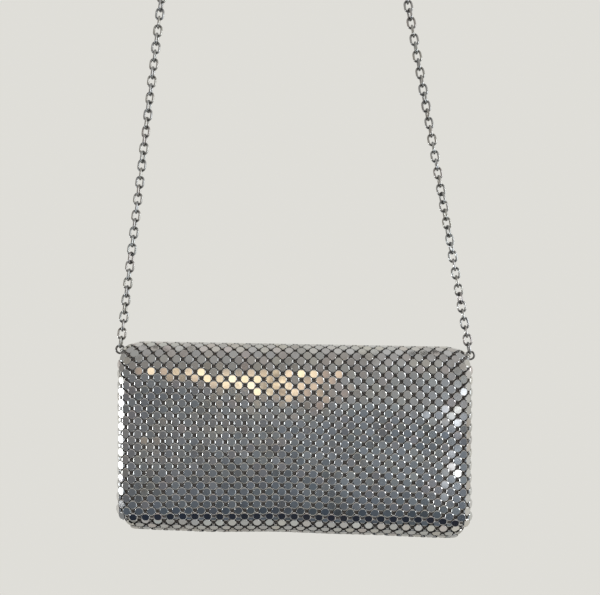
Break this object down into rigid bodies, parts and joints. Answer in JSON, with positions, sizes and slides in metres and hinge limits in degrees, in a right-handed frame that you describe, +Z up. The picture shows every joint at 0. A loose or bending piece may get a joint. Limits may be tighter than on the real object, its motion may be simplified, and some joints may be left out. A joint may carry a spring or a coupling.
{
  "type": "metal mesh purse",
  "caption": "Slim metal mesh purse with a full front flap that folds over the top, a rounded bottom and a long cable chain held by a ring at each end of the fold.",
  "frame": {"origin": "the underside of the chain where it hangs over a peg, hook or shoulder", "axes": "+Z up, the flap's front faces -Y, +X to the wearer's side on the right of the picture"},
  "size_m": [0.2092, 0.0275, 0.6962],
  "materials": {
    "mesh": "plated, polished, lightly worn",
    "chain": "plated, polished, darker between the links",
    "snap": "satin"
  },
  "bodies": {
    "root": {"mesh_pouch": "mesh", "mesh_flap": "mesh", "hidden_snap": "snap", "corner_ring_left": "chain", "corner_ring_right": "chain", "chain": "chain"}
  },
  "joints": []
}
